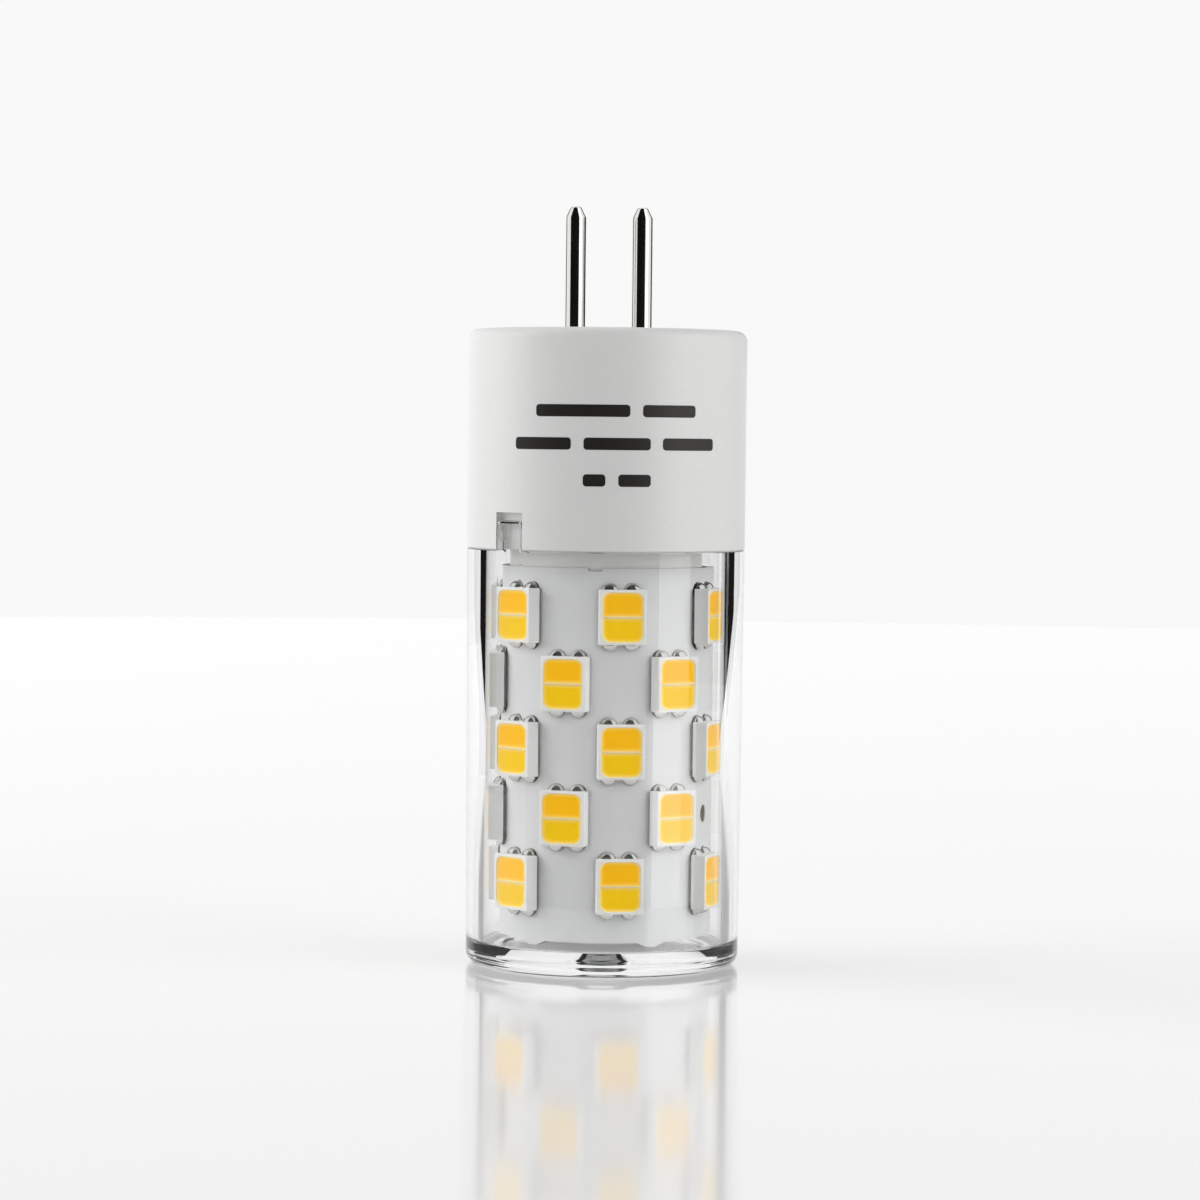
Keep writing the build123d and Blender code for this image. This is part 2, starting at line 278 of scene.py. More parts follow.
panel_radiance = 1.1
deep_reflections = 3
wall_passes = 3

# Softboxes: first and last angle from the camera's side, and radiance
softboxes = {"left_softbox": (-128, -65, 2.25), "right_softbox": (42, 99, 1.5)}
softbox_distance = 600.0
softbox_height = 600.0
softbox_middle = 280.0
power_for_radiance = 4

# World, as a strength for each kind of light
background_white = 0.945
diffuse_fill = 0.34
cover_fill = 1.6


# Mesh helpers
def arc(centre, radius, start, end, steps=arc_steps):
    """Points of an arc in a profile of (radius, height) points."""
    turns = [radians(start + (end - start) * step / steps) for step in range(steps + 1)]
    return [(centre[0] + radius * cos(turn), centre[1] + radius * sin(turn)) for turn in turns]


def even_turns(columns):
    """Angles of equal columns round the axis, in radians."""
    return [2 * pi * column / columns for column in range(columns)]


def spin(bm, profile, turns):
    """Sweeps a profile round the axis. A point on the axis becomes one vertex."""
    rings = []
    for radius, height in profile:
        if radius < TINY:
            ring = [bm.verts.new((0, 0, height))]
        else:
            ring = [bm.verts.new((radius * sin(turn), -radius * cos(turn), height)) for turn in turns]
        rings.append(ring)
    for ring, after in zip(rings, rings[1:]):
        for j in range(len(turns)):
            k = (j + 1) % len(turns)
            lower = [ring[j % len(ring)], ring[k % len(ring)]]
            upper = [after[k % len(after)], after[j % len(after)]]
            bm.faces.new(list(dict.fromkeys(lower + upper)))


def outline(width, length, corners, height):
    """Points round a rectangle at one height. Corner radii go anticlockwise from the upper right."""
    points = []
    for quarter, (side, end) in enumerate(((1, 1), (-1, 1), (-1, -1), (1, -1))):
        radius = corners[quarter]
        for step in range(corner_steps + 1):
            turn = radians(90 * (quarter + step / corner_steps))
            x = side * (width / 2 - radius) + radius * cos(turn)
            y = end * (length / 2 - radius) + radius * sin(turn)
            points.append(Vector((x, y, height)))
    return points


def loft(bm, loops, marks=None, layer=None):
    """Joins loops of equal length into a closed skin, and writes one mark a loop into a vertex layer."""
    rings = [[bm.verts.new(point) for point in loop] for loop in loops]
    for ring, after in zip(rings, rings[1:]):
        for j in range(len(ring)):
            k = (j + 1) % len(ring)
            bm.faces.new((ring[j], ring[k], after[k], after[j]))
    bm.faces.new(rings[0])
    bm.faces.new(rings[-1])
    if layer:
        for ring, mark in zip(rings, marks):
            for vertex in ring:
                vertex[layer] = mark


def smooth(mesh):
    """Shades a mesh smoothly between its sharp edges."""
    mesh.shade_smooth()
    mesh.set_sharp_from_angle(angle=radians(sharp_angle))


def to_mesh(name, bm, material, turn_faces=True):
    """A smooth mesh in metres from a bmesh in millimetres, with its faces turned outwards if asked."""
    if turn_faces:
        bmesh.ops.recalc_face_normals(bm, faces=bm.faces)
    mesh = bpy.data.meshes.new(name)
    bm.to_mesh(mesh)
    bm.free()
    mesh.transform(Matrix.Scale(MM, 4))
    smooth(mesh)
    mesh.materials.append(material)
    return mesh


def link(name, data):
    """A new object in the scene."""
    thing = bpy.data.objects.new(name, data)
    bpy.context.scene.collection.objects.link(thing)
    return thing


def add_piece(name, mesh, slot, *nodes, place=None):
    """A piece of the bulb that stands for the named solids."""
    piece = link(name, mesh)
    if place is not None:
        piece.matrix_world = place
    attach(piece, "root")
    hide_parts(*nodes)
    return piece


def cut(piece, additions, cutters):
    """Joins the additions to a piece, takes the cutters out of it and keeps the new edges sharp."""
    for operation, tools in (("UNION", additions), ("DIFFERENCE", cutters)):
        for tool in tools:
            modifier = piece.modifiers.new("cut", "BOOLEAN")
            modifier.operation = operation
            modifier.solver = "EXACT"
            modifier.object = tool
    graph = bpy.context.evaluated_depsgraph_get()
    mesh = bpy.data.meshes.new_from_object(piece.evaluated_get(graph))
    smooth(mesh)
    piece.modifiers.clear()
    piece.data = mesh
    for tool in additions + cutters:
        bpy.data.objects.remove(tool)


def key_block(size, middle):
    """A box turned to the keys, whose own y points away from the axis."""
    bm = bmesh.new()
    bmesh.ops.create_cube(bm, size=1)
    bmesh.ops.scale(bm, vec=size, verts=bm.verts)
    bmesh.ops.translate(bm, vec=middle, verts=bm.verts)
    bmesh.ops.rotate(bm, matrix=Matrix.Rotation(radians(key_angle), 3, "Z"), verts=bm.verts)
    return link("key_block", to_mesh("key_block", bm, base_white))


def key_offset(point):
    """The angle from the nearer key's middle to a point, in radians."""
    offset = atan2(point.x, -point.y) - radians(key_angle)
    return (offset + pi / 2) % pi - pi / 2


def under_key(face):
    """Whether a face of the cover is on its rim and carries a key."""
    middle = face.calc_center_median()
    return middle.z > seam - rim_bevel + TINY and abs(key_offset(middle)) < key_half_turn


def seat_matrix(middle):
    """The seat of an LED from its middle: x along the board, y upwards and z away from the axis."""
    turn = atan2(middle.x, -middle.y)
    seat_radius = hypot(middle.x, middle.y) - led_height / 2
    columns = (
        (cos(turn), sin(turn), 0),
        (0, 0, 1),
        (sin(turn), -cos(turn), 0),
    )
    matrix = Matrix(columns).transposed().to_4x4()
    matrix.translation = (seat_radius * sin(turn), -seat_radius * cos(turn), middle.z)
    return matrix


def pad_loops(corners, shift):
    """Loops of one filling, from its floor up its side and in over its top."""
    top = led_height - phosphor_sink
    steps = [(0.0, led_height - window_depth)]
    steps += [(inset, top - phosphor_dip * dip) for inset, _, dip in pad_rings]
    loops = []
    for inset, height in steps:
        radii = [max(radius - inset, chamber_corner / 2) for radius in corners]
        loop = outline(window_width - 2 * inset, chamber_length - 2 * inset, radii, height)
        loops.append([point + Vector((0, shift, 0)) for point in loop])
    return loops


def add_ear(bm, matrix):
    """Adds one solder ear to a mesh, with a mark for its dark foot: flux residue and painted shade where
    it meets the board.
    """
    ear = bmesh.new()
    spin(ear, ((0, ear_rings[0][1]),) + ear_rings, even_turns(ear_columns))
    layer = ear.verts.layers.float.new("flux_and_shade")
    for vertex in ear.verts:
        vertex[layer] = float(vertex.co.z < ear_flux_and_shade_height)
    bmesh.ops.transform(ear, matrix=matrix, verts=ear.verts)
    part = bpy.data.meshes.new("ear")
    ear.to_mesh(part)
    ear.free()
    bm.from_mesh(part)
    bpy.data.meshes.remove(part)


def print_bar(bm, start, length, height):
    """Adds a rounded bar on the base's wall, from a start measured along the wall."""
    rings = []
    for column in range(print_columns + 1):
        along = length * (0.5 - 0.5 * cos(pi * column / print_columns))
        edge = max(print_corner - min(along, length - along), 0)
        half = print_height / 2 - print_corner + (print_corner**2 - edge**2) ** 0.5
        turn = radians(print_angle) + (start + along) / body_radius
        inner = body_radius - print_sunk
        outer = body_radius + print_proud
        ring = []
        for reach, level in ((inner, -half), (outer, -half), (outer, half), (inner, half)):
            ring.append((reach * sin(turn), -reach * cos(turn), height + level))
        rings.append(ring)
    loft(bm, rings)


def stage_card(name, material, span, radius, bottom, top):
    """An upright curved sheet between two angles from the camera, seen only in gloss and glass."""
    first, last = span
    steps = abs(last - first)
    bm = bmesh.new()
    edges = [[], []]
    for step in range(steps + 1):
        share = step / steps
        turn = radians(camera_turn + first + (last - first) * share)
        heights = (bottom[0] + (bottom[1] - bottom[0]) * share, top)
        for edge, height in zip(edges, heights):
            edge.append(bm.verts.new((radius * sin(turn), -radius * cos(turn), height)))
    for j in range(steps):
        corners = (edges[0][j], edges[1][j], edges[1][j + 1], edges[0][j + 1])
        bm.faces.new(corners if last > first else corners[::-1])
    card = link(name, to_mesh(name, bm, material, turn_faces=False))
    card.visible_camera = False
    card.visible_diffuse = False
    card.visible_shadow = False
    card.visible_transmission = name not in gloss_only_cards
    card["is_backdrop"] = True


# Material helpers
def new_material(name):
    """A new material, with its nodes, its links and its main shader."""
    material = bpy.data.materials.new(name)
    material.use_nodes = True
    nodes = material.node_tree.nodes
    return material, nodes, material.node_tree.links, nodes["Principled BSDF"]


def moulded(name, colour, roughness, grain, tint=0.03, bump=0.15, stretch=1.0, **sockets):
    """A material whose colour, gloss and surface vary with a noise of the given grain."""
    material, nodes, links, shader = new_material(name)
    place = nodes.new("ShaderNodeTexCoord")
    scale = nodes.new("ShaderNodeMapping")
    scale.inputs["Scale"].default_value = (1, 1, 1 / stretch)
    noise = nodes.new("ShaderNodeTexNoise")
    noise.inputs["Scale"].default_value = 1 / (grain * MM)
    noise.inputs["Detail"].default_value = noise_detail
    shade = nodes.new("ShaderNodeValToRGB")
    for element, position, change in zip(shade.color_ramp.elements, shade_span, (-tint, tint)):
        element.position = position
        element.color = [min(channel * (1 + change), 1) for channel in colour] + [1]
    gloss = nodes.new("ShaderNodeMapRange")
    gloss.inputs["To Min"].default_value = roughness * (1 - gloss_spread)
    gloss.inputs["To Max"].default_value = roughness * (1 + gloss_spread)
    relief = nodes.new("ShaderNodeBump")
    relief.inputs["Strength"].default_value = bump
    relief.inputs["Distance"].default_value = grain_depth * MM
    links.new(place.outputs["Object"], scale.inputs["Vector"])
    links.new(scale.outputs["Vector"], noise.inputs["Vector"])
    links.new(noise.outputs["Fac"], shade.inputs["Fac"])
    links.new(noise.outputs["Fac"], gloss.inputs["Value"])
    links.new(noise.outputs["Fac"], relief.inputs["Height"])
    links.new(shade.outputs["Color"], shader.inputs["Base Color"])
    links.new(gloss.outputs["Result"], shader.inputs["Roughness"])
    links.new(relief.outputs["Normal"], shader.inputs["Normal"])
    for socket, value in sockets.items():
        shader.inputs[socket.replace("_", " ")].default_value = value
    return material


def math_step(nodes, links, operation, *values, clamp=True):
    """The result of a math node whose inputs are sockets or numbers."""
    step = nodes.new("ShaderNodeMath")
    step.operation = operation
    step.use_clamp = clamp
    for socket, value in zip(step.inputs, values):
        if isinstance(value, float):
            socket.default_value = value
        else:
            links.new(value, socket)
    return step.outputs["Value"]


def blend_colour(material, share, colour):
    """Turns a material towards a second colour by the share that a socket gives."""
    nodes = material.node_tree.nodes
    links = material.node_tree.links
    socket = nodes["Principled BSDF"].inputs["Base Color"]
    blend = nodes.new("ShaderNodeMixRGB")
    blend.inputs["Color2"].default_value = (*colour, 1)
    links.new(share, blend.inputs["Fac"])
    links.new(socket.links[0].from_socket, blend.inputs["Color1"])
    links.new(blend.outputs["Color"], socket)


def blend_by_mark(material, mark, colour):
    """Turns a material towards a second colour where the mesh carries the mark."""
    reader = material.node_tree.nodes.new("ShaderNodeAttribute")
    reader.attribute_name = mark
    blend_colour(material, reader.outputs["Fac"], colour)


def blend_inside(material, radius, colour):
    """Turns a material to a second colour nearer to the axis than a radius, as at cut edges."""
    nodes = material.node_tree.nodes
    links = material.node_tree.links
    place = nodes.new("ShaderNodeTexCoord")
    flat = nodes.new("ShaderNodeMapping")
    flat.inputs["Scale"].default_value = (1, 1, 0)
    reach = nodes.new("ShaderNodeVectorMath")
    reach.operation = "LENGTH"
    links.new(place.outputs["Object"], flat.inputs["Vector"])
    links.new(flat.outputs["Vector"], reach.inputs[0])
    inside = math_step(nodes, links, "LESS_THAN", reach.outputs["Value"], radius * MM)
    blend_colour(material, inside, colour)


def mix_with_clear(nodes, links, share):
    """Makes a material clear by the share that a socket gives."""
    passing = nodes.new("ShaderNodeBsdfTransparent")
    mix = nodes.new("ShaderNodeMixShader")
    links.new(share, mix.inputs["Fac"])
    links.new(nodes["Principled BSDF"].outputs["BSDF"], mix.inputs[1])
    links.new(passing.outputs["BSDF"], mix.inputs[2])
    links.new(mix.outputs["Shader"], nodes["Material Output"].inputs["Surface"])


def clear_plastic():
    """Clear moulded plastic with faint flow waves, which lets the lamps' light through."""
    material, nodes, links, shader = new_material("clear_plastic")
    shader.inputs["Base Color"].default_value = cover_colour
    shader.inputs["Transmission Weight"].default_value = 1.0
    shader.inputs["IOR"].default_value = cover_refraction
    place = nodes.new("ShaderNodeTexCoord")
    waves = nodes.new("ShaderNodeTexNoise")
    waves.inputs["Scale"].default_value = 1 / (wave_grain * MM)
    waves.inputs["Detail"].default_value = wave_detail
    relief = nodes.new("ShaderNodeBump")
    relief.inputs["Strength"].default_value = wave_strength
    relief.inputs["Distance"].default_value = wave_depth * MM
    haze = nodes.new("ShaderNodeMapRange")
    haze.inputs["To Min"].default_value = 0.0
    haze.inputs["To Max"].default_value = cover_haze
    path = nodes.new("ShaderNodeLightPath")
    links.new(place.outputs["Object"], waves.inputs["Vector"])
    links.new(waves.outputs["Fac"], relief.inputs["Height"])
    links.new(waves.outputs["Fac"], haze.inputs["Value"])
    links.new(relief.outputs["Normal"], shader.inputs["Normal"])
    links.new(haze.outputs["Result"], shader.inputs["Roughness"])
    mix_with_clear(nodes, links, path.outputs["Is Shadow Ray"])
    return material


def seen_straight(nodes, links):
    """A socket that is 1 for what the eye, gloss and glass see, and 0 after a matt surface."""
    path = nodes.new("ShaderNodeLightPath").outputs
    value = math_step(nodes, links, "MAXIMUM", path["Is Camera Ray"], path["Is Glossy Ray"])
    value = math_step(nodes, links, "MAXIMUM", value, path["Is Transmission Ray"])
    return math_step(nodes, links, "SUBTRACT", value, path["Diffuse Depth"])


def lit_through_glass(nodes, links):
    """A socket that is 1 for light that reaches a matt surface through glass."""
    path = nodes.new("ShaderNodeLightPath").outputs
    return math_step(nodes, links, "MULTIPLY", path["Is Transmission Ray"], path["Diffuse Depth"])


def add_glow(material, strength):
    """Adds an even light to what the camera, gloss and glass see of a material."""
    nodes = material.node_tree.nodes
    links = material.node_tree.links
    level = math_step(nodes, links, "MULTIPLY", seen_straight(nodes, links), strength)
    shader = nodes["Principled BSDF"]
    shader.inputs["Emission Color"].default_value = white
    links.new(level, shader.inputs["Emission Strength"])


def clear_from_behind(material, after_matt=True, reflections=0, passes=0):
    """Makes a material clear on the back of its faces and, if asked, to light from a matt surface.

    It is also clear to light with fewer reflections, or with more passes through glass, than are given.
    """
    nodes = material.node_tree.nodes
    links = material.node_tree.links
    path = nodes.new("ShaderNodeLightPath").outputs
    clear = nodes.new("ShaderNodeNewGeometry").outputs["Backfacing"]
    if after_matt:
        clear = math_step(nodes, links, "MAXIMUM", path["Diffuse Depth"], clear)
    if reflections:
        early = math_step(nodes, links, "LESS_THAN", path["Glossy Depth"], reflections - 0.5)
        clear = math_step(nodes, links, "MAXIMUM", early, clear)
    if passes:
        through = math_step(nodes, links, "GREATER_THAN", path["Transmission Depth"], passes + 0.5)
        clear = math_step(nodes, links, "MAXIMUM", through, clear)
    mix_with_clear(nodes, links, clear)


def card_material(name, radiance=0.0, **clear):
    """A dark matt card, with an even light of its own if asked, which is clear from behind."""
    light = {"Emission_Color": white, "Emission_Strength": radiance, "Specular_IOR_Level": 0.0}
    material = moulded(name, card_colour, card_roughness, card_grain, bump=0.0, **light)
    clear_from_behind(material, **clear)
    return material


# Plastics and metals that show
base_white = moulded("base_white", (0.86, 0.858, 0.85), roughness=0.42, grain=0.25, tint=0.012)
pin_metal = moulded(
    "pin_metal", (0.83, 0.82, 0.79), roughness=0.07, grain=0.12, bump=0.05, stretch=12, Metallic=1.0
)
board_white = moulded("board_white", (0.766, 0.769, 0.778), roughness=0.4, grain=0.5, tint=0.015)
blend_inside(board_white, board_radius - board_mask, (0.3, 0.23, 0.17))
# Painted light: the core tube glows faintly of its own, to lighten it where little light reaches behind
# the key slots.
core_painted_glow = {"Emission_Color": (1, 1, 0.99, 1), "Emission_Strength": 0.05}
core_plastic = moulded(
    "core_plastic", (0.94, 0.938, 0.93), roughness=0.35, grain=0.3, tint=0.02, **core_painted_glow
)
led_frame = moulded("led_frame", (0.95, 0.95, 0.94), roughness=0.4, grain=0.15, tint=0.015)
blend_by_mark(led_frame, "tint", (0.97, 0.75, 0.3))
# The LED's foot turns dark where it meets the board: its dark pads, and painted contact shade.
blend_by_mark(led_frame, "pads_and_painted_shade", (0.2, 0.2, 0.2))
solder = moulded("solder", (0.8, 0.79, 0.77), roughness=0.07, grain=0.3, Metallic=1.0)
# The ears' feet are dark with flux residue and with painted shade where they meet the board.
blend_by_mark(solder, "flux_and_shade", (0.07, 0.06, 0.055))
print_ink = moulded("print_ink", (0.02, 0.017, 0.015), roughness=0.5, grain=0.1, tint=0.2)

# Phosphors, with a paler edge and a painted amber glow of their own, though the LEDs are not lit
phosphor_gloss_and_painted_glow = {"roughness": 0.35, "grain": 0.2, "Emission_Strength": 0.22, "Specular_IOR_Level": 0.1}
phosphor_warm = moulded(
    "phosphor_warm", (0.95, 0.5, 0.0), Emission_Color=(0.9, 0.45, 0.0, 1), **phosphor_gloss_and_painted_glow
)
phosphor_cool = moulded(
    "phosphor_cool", (0.9, 0.56, 0.0), Emission_Color=(0.85, 0.52, 0.0, 1), **phosphor_gloss_and_painted_glow
)
blend_by_mark(phosphor_warm, "rim", (0.97, 0.68, 0.16))
blend_by_mark(phosphor_cool, "rim", (0.94, 0.7, 0.18))

# Driver parts
laminate = moulded("laminate", (0.05, 0.22, 0.1), roughness=0.35, grain=0.4, tint=0.1)
chip_black = moulded("chip_black", (0.03, 0.03, 0.03), roughness=0.55, grain=0.1, tint=0.2)
capacitor_can = moulded(
    "capacitor_can", (0.3, 0.32, 0.36), roughness=0.3, grain=0.3, tint=0.06, Metallic=0.6
)
ferrite = moulded("ferrite", (0.09, 0.09, 0.09), roughness=0.6, grain=0.15, tint=0.2)
resistor_body = moulded("resistor_body", (0.05, 0.05, 0.06), roughness=0.3, grain=0.2, tint=0.1)
wire_red = moulded("wire_red", (0.45, 0.03, 0.02), roughness=0.45, grain=0.3, tint=0.06)
wire_black = moulded("wire_black", (0.02, 0.02, 0.02), roughness=0.45, grain=0.3, tint=0.1)

# Solids that keep their own shape
kept_nodes = {
    "led_board": board_white,
    "core_tube": core_plastic,
    "driver_board": laminate,
    "pin_solder": solder,
    "bridge_rectifier": chip_black,
    "freewheel_diode": chip_black,
    "driver_chip": chip_black,
    "filter_capacitor": capacitor_can,
    "power_inductor": ferrite,
    "sense_resistor": resistor_body,
    "lead_wire_positive": wire_red,
    "lead_wire_negative": wire_black,
}
for node, material in kept_nodes.items():
    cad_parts[node].material_slots[0].material = material

# Base shell: a spun cap
edge_centre = (body_radius - base_edge_radius, base_top - base_edge_radius)
base_profile = [
    (0, base_top),
    (edge_centre[0] - support, base_top),
    *arc(edge_centre, base_edge_radius, 90, 0),
    (body_radius, edge_centre[1] - support),
    (body_radius, seam + seam_bevel),
    (body_radius - seam_bevel, seam),
    (base_bore, seam),
    (base_bore, base_ceiling),
    (0, base_ceiling),
]
bm = bmesh.new()
spin(bm, base_profile, even_turns(base_columns))
base_shell = add_piece("base_shell", to_mesh("base_shell", bm, base_white), "base_white", "base_housing")

# Key notches with closed pockets behind them, and pin holes
slot_width = key_width + 2 * key_side_clearance
slot_height = key_top + key_end_clearance - seam
slot_reach = 2 * (body_radius - pocket_back)
slot_size = (slot_width, slot_reach, 2 * slot_height)
recess_reach = key_recess_depth + base_wall
recess_middle = body_radius - key_recess_depth + recess_reach / 2
recess_size = (slot_width, recess_reach, 2 * key_recess_height)
pocket_front = base_bore + pocket_overlap
pocket_inside = pocket_back - pocket_wall
pocket_height = slot_height + pocket_wall - support
pocket_size = (slot_width + 2 * pocket_wall, pocket_front - pocket_inside, pocket_height)
pockets = []
cutters = []
for side in (-1, 1):
    pocket_middle = (0, side * (pocket_front + pocket_inside) / 2, seam + support + pocket_height / 2)
    pockets.append(key_block(pocket_size, pocket_middle))
    cutters.append(key_block(slot_size, (0, side * (pocket_back + slot_reach / 2), seam)))
    cutters.append(key_block(recess_size, (0, side * recess_middle, seam + slot_height)))
for side in (-1, 1):
    bm = bmesh.new()
    hole = {"radius1": pin_shank_radius, "radius2": pin_shank_radius, "depth": pin_hole_length}
    bmesh.ops.create_cone(bm, cap_ends=True, segments=pin_columns, **hole)
    bmesh.ops.translate(bm, vec=(side * pin_x, 0, base_top), verts=bm.verts)
    cutters.append(link("pin_hole", to_mesh("pin_hole", bm, base_white)))
cut(base_shell, pockets, cutters)

# Contact pins: spun, with a flush shank, a flange under the base's top wall and a rounded tip
tip_centre = (pin_tip_radius - pin_tip_round, pin_high.z - pin_tip_round)
flange_bottom = base_ceiling - pin_flange_thickness
pin_shoulder = pin_high.z - pin_cone_length
pin_profile = [
    (0, pin_low.z),
    (pin_radius, pin_low.z),
    (pin_radius, flange_bottom),
    (pin_flange_radius, flange_bottom),
    (pin_flange_radius, base_ceiling),
    (pin_shank_radius, base_ceiling),
    (pin_shank_radius, base_top),
    (pin_radius, base_top),
    (pin_radius, pin_shoulder - support),
    (pin_radius, pin_shoulder),
    *arc(tip_centre, pin_tip_round, pin_tip_turn, 90),
    (0, pin_high.z),
]
for side, pin_side in ((-1, "left"), (1, "right")):
    name = "pin_" + pin_side
    bm = bmesh.new()
    spin(bm, pin_profile, even_turns(pin_columns))
    bmesh.ops.translate(bm, vec=(side * pin_x, 0, 0), verts=bm.verts)
    add_piece(name, to_mesh(name, bm, pin_metal), "pin_metal", "contact_" + name)

# Clear cover: a spun cup whose columns meet the edges of the two keys
key_shares = [2 * step / key_columns - 1 for step in range(key_columns + 1)]
key_offsets = [asin(key_width / 2 * share / body_radius) for share in key_shares]
plain_span = pi - 2 * key_half_turn
half_turn = key_offsets[:-1]
half_turn += [key_half_turn + plain_span * step / wall_columns for step in range(wall_columns)]
cover_turns = [radians(key_angle) + offset + side * pi for side in (0, 1) for offset in half_turn]
cover_bore = foot_radius - cover_wall
foot_centre = (foot_radius - foot_round, foot_round)
corner_centre = (cover_bore - floor_corner, cover_floor + floor_corner)
gate_top = recess_depth + gate_depth
gate_slope = degrees(atan2(gate_depth, gate_shoulder))
gate_run = gate_soft * tan(radians(gate_slope) / 2)
gate_flat = gate_radius - gate_shoulder - gate_run
gate_foot = gate_radius + gate_run
cover_profile = [
    (0, gate_top),
    *arc((gate_flat, gate_top - gate_soft), gate_soft, 90, 90 - gate_slope, gate_steps),
    *arc((gate_foot, recess_depth + gate_soft), gate_soft, 270 - gate_slope, 270, gate_steps),
    (recess_radius - support, recess_depth),
    (recess_radius + support / 2, recess_depth - support),
    (recess_radius + recess_slope, 0),
    (foot_centre[0] - support / 2, 0),
    *arc(foot_centre, foot_round, -90, 0, foot_steps),
    (foot_radius, foot_round + support),
    (body_radius, seam - rim_bevel),
    (body_radius - rim_bevel, seam),
    (cover_bore, seam),
    (cover_bore, corner_centre[1] + support),
    *arc(corner_centre, floor_corner, 0, -90, floor_corner_steps),
    (corner_centre[0] - support, cover_floor),
    (0, cover_floor),
]
bm = bmesh.new()
spin(bm, cover_profile, cover_turns)

# Keys: drawn up from the rim, with parallel sides and rounded edges
rim_faces = [face for face in bm.faces if under_key(face)]
raised = bmesh.ops.extrude_face_region(bm, geom=rim_faces)["geom"]
key_vertices = [item for item in raised if isinstance(item, bmesh.types.BMVert)]
bmesh.ops.delete(bm, geom=rim_faces, context="FACES")
bmesh.ops.translate(bm, vec=(0, 0, key_top - seam), verts=key_vertices)
for vertex in key_vertices:
    radius = hypot(vertex.co.x, vertex.co.y)
    offset = key_offset(vertex.co)
    change = asin(body_radius * sin(offset) / radius) - offset
    vertex.co.rotate(Matrix.Rotation(change, 3, "Z"))
key_edges = {}
for vertex in key_vertices:
    for edge in vertex.link_edges:
        if edge.calc_face_angle(0) > radians(sharp_angle):
            key_edges[edge] = True
rounding = {"offset": key_edge_radius, "segments": key_edge_steps, "profile": 0.5, "affect": "EDGES"}
bmesh.ops.bevel(bm, geom=list(key_edges), **rounding)
cover_mesh = to_mesh("clear_shell", bm, clear_plastic(), turn_faces=False)
add_piece("clear_shell", cover_mesh, "clear_plastic", "clear_cover")

# LED packages: one shared mesh, with an undercut foot, soft edges and one wide window with a divider
led_round = (led_corner,) * 4
window_round = (window_corner, window_corner, window_cut_corner, window_corner)
led_bevel = led_edge_share * led_edge
led_steps = (
    (-2 * led_undercut, 0.0),
    (0.0, led_undercut),
    (0.0, led_undercut + led_foot_step),
    (0.0, led_height - led_edge),
    (-led_bevel, led_height - led_bevel),
    (-2 * led_edge, led_height),
)
window_steps = (
    (window_flare, led_height),
    (0.0, led_height - phosphor_sink),
    (-window_slope, led_height - window_depth),
)
divider_steps = (
    (0.0, led_height - window_depth - divider_sunk, divider_corner),
    (0.0, led_height - divider_shoulder, divider_corner),
    (-divider_taper, led_height - divider_crest, divider_crest_corner),
)
loops = []
for grow, height in led_steps:
    loops.append(outline(led_width + grow, led_length + grow, led_round, height))
for grow, height in window_steps:
    loops.append(outline(window_width + grow, window_length + grow, window_round, height))
divider_loops = []
for grow, height, corner in divider_steps:
    loop = outline(window_width + divider_overlap, divider_width + grow, (corner,) * 4, height)
    divider_loops.append(loop)
bm = bmesh.new()
layer = bm.verts.layers.float.new("tint")
foot_shade_layer = bm.verts.layers.float.new("pads_and_painted_shade")
loft(bm, loops, (0.0,) * len(led_steps) + window_tints, layer)
# Marks the foot below the undercut, darkened for the pads and as painted contact shade.
for vertex in bm.verts:
    vertex[foot_shade_layer] = float(vertex.co.z < led_undercut + TINY)
loft(bm, divider_loops, divider_tints, layer)
led_mesh = to_mesh("led_package", bm, led_frame)
seats = {}
for row in range(1, led_rows + 1):
    for column in range(1, leds_per_row + 1):
        node = f"led_package_r{row}_c{column}"
        low, high = node_box(node)
        seats[node] = seat_matrix((low + high) / 2)
        place = seats[node].copy()
        place.translation *= MM
        add_piece(f"led_r{row}_c{column}", led_mesh, "led_frame", node, place=place)

# Phosphor fillings: soft pads that climb a little at their edges
warm_corners = (window_corner, window_corner, chamber_corner, chamber_corner)
cool_corners = (chamber_corner, chamber_corner, window_cut_corner, window_corner)
fillings = {
    "warm": (phosphor_warm, warm_corners, chamber_shift),
    "cool": (phosphor_cool, cool_corners, -chamber_shift),
}
rim_marks = [1.0] + [mark for _, mark, _ in pad_rings]
for tone, (material, corners, shift) in fillings.items():
    bm = bmesh.new()
    layer = bm.verts.layers.float.new("rim")
    for seat in seats.values():
        loops = [[seat @ point for point in loop] for loop in pad_loops(corners, shift)]
        loft(bm, loops, rim_marks, layer)
    mesh = to_mesh(tone + "_fillings", bm, material)
    add_piece(tone + "_fillings", mesh, "phosphor_" + tone, tone + "_phosphor")

# Solder ears: four reflowed blobs at the ends of each LED, one piece for a row
for row in range(1, led_rows + 1):
    bm = bmesh.new()
    for column in range(1, leds_per_row + 1):
        seat = seats[f"led_package_r{row}_c{column}"]
        for side in (-1, 1):
            for end in (-1, 1):
                shift = Vector((side * ear_spread / 2, end * (led_length / 2 - ear_inset), 0))
                add_ear(bm, seat @ Matrix.Translation(shift))
    name = f"solder_ears_{row}"
    add_piece(name, to_mesh(name, bm, solder), "solder", f"solder_row_{row}")

# Printed bars: thin curved pads in three centred lines
bm = bmesh.new()
for height, lengths in print_lines:
    start = -(sum(lengths) + print_gap * (len(lengths) - 1)) / 2
    for length in lengths:
        print_bar(bm, start, length, height)
        start += length + print_gap
add_piece("print_bars", to_mesh("print_bars", bm, print_ink), "chip_black")

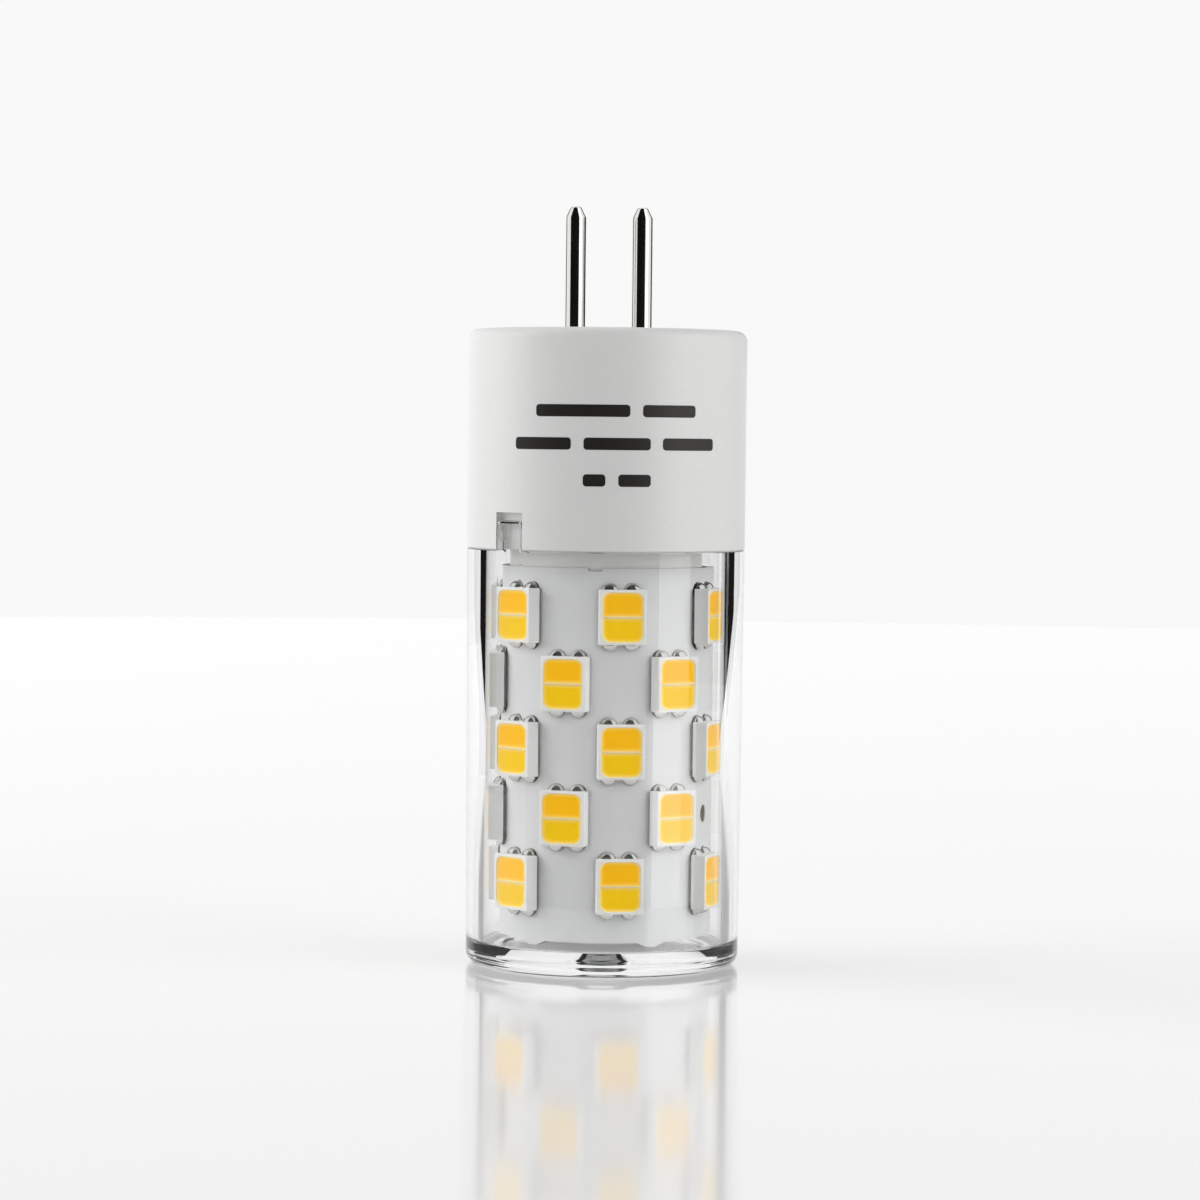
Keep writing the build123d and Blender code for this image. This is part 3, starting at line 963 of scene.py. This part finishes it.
# Floor: a pale glossy disc that looks white, keeps the shadow and is clear from below
floor_white = moulded("floor_white", (0.9, 0.9, 0.9), roughness=0.1, grain=40.0, tint=0.004, bump=0.0)
add_glow(floor_white, floor_glow)
clear_from_behind(floor_white, after_matt=False)
bm = bmesh.new()
bmesh.ops.create_circle(bm, cap_ends=True, segments=floor_columns, radius=floor_radius)
bmesh.ops.translate(bm, vec=(0, 0, -floor_drop), verts=bm.verts)
link("floor", to_mesh("floor", bm, floor_white))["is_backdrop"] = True

# Dark, dim and bright cards round the bulb, seen only in gloss and glass
panel_light = {"Emission_Color": white, "Emission_Strength": panel_radiance}
panel_white = moulded(
    "panel_white", (0.8, 0.8, 0.8), card_roughness, card_grain, bump=0.0, **panel_light
)
card_looks = {
    "black": card_material("card_black"),
    "deep": card_material("card_deep", reflections=deep_reflections),
    "wall": card_material("card_wall", passes=wall_passes),
    "dim": card_material("card_dim", dim_radiance),
    "grey": card_material("card_grey", grey_radiance),
    "bright": card_material("card_bright", bright_radiance),
    "panel": panel_white,
}
for name, (look, span, radius, bottom, top) in cards.items():
    stage_card(name, card_looks[look], span, radius, bottom, top)

# Softboxes at both sides
for name, (first, last, radiance) in softboxes.items():
    width = 2 * softbox_distance * MM * tan(radians(last - first) / 2)
    height = softbox_height * MM
    lamp = bpy.data.lights.new(name, "AREA")
    lamp.shape = "RECTANGLE"
    lamp.size = width
    lamp.size_y = height
    lamp.energy = power_for_radiance * width * height * radiance
    turn = radians(camera_turn + (first + last) / 2)
    box = link(name, lamp)
    box.visible_glossy = False
    box.visible_transmission = False
    place = Vector((softbox_distance * sin(turn), -softbox_distance * cos(turn), softbox_middle))
    box.location = place * MM
    aim = Vector((0, 0, softbox_middle * MM)) - box.location
    box.rotation_euler = aim.to_track_quat("-Z", "Y").to_euler()

# World: white to the camera, gloss and glass, and a softer fill for everything else
world = bpy.data.worlds.new("studio")
bpy.context.scene.world = world
world.use_nodes = True
nodes = world.node_tree.nodes
links = world.node_tree.links
shares = (
    (seen_straight(nodes, links), background_white - diffuse_fill),
    (lit_through_glass(nodes, links), cover_fill - diffuse_fill),
)
strength = diffuse_fill
for share, gain in shares:
    strength = math_step(nodes, links, "MULTIPLY_ADD", share, gain, strength, clamp=False)
links.new(strength, nodes["Background"].inputs["Strength"])
nodes["Background"].inputs["Color"].default_value = white

# Camera at the photograph's place
around = Matrix.Rotation(radians(camera_turn), 3, "Z")
pitch = radians(camera_pitch)
roll = radians(camera_roll)
right = Vector((1, 0, 0))
up = Vector((0, sin(pitch), cos(pitch)))
back = Vector((0, -cos(pitch), sin(pitch)))
rolled_right = right * cos(roll) + up * sin(roll)
rolled_up = up * cos(roll) - right * sin(roll)
axes = around @ Matrix((rolled_right, rolled_up, back)).transposed()
camera_data = bpy.data.cameras.new("camera")
camera_data.sensor_width = camera_sensor
camera_data.lens = camera_sensor * camera_focal_px / photo_width_px
camera_data.clip_start = camera_clip_m
camera = link("camera", camera_data)
camera.matrix_world = Matrix.Translation(around @ Vector(camera_offset) * MM) @ axes.to_4x4()
bpy.context.scene.camera = camera
bpy.context.scene.view_settings.view_transform = "Standard"

bpy.context.view_layer.update()
low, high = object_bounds()
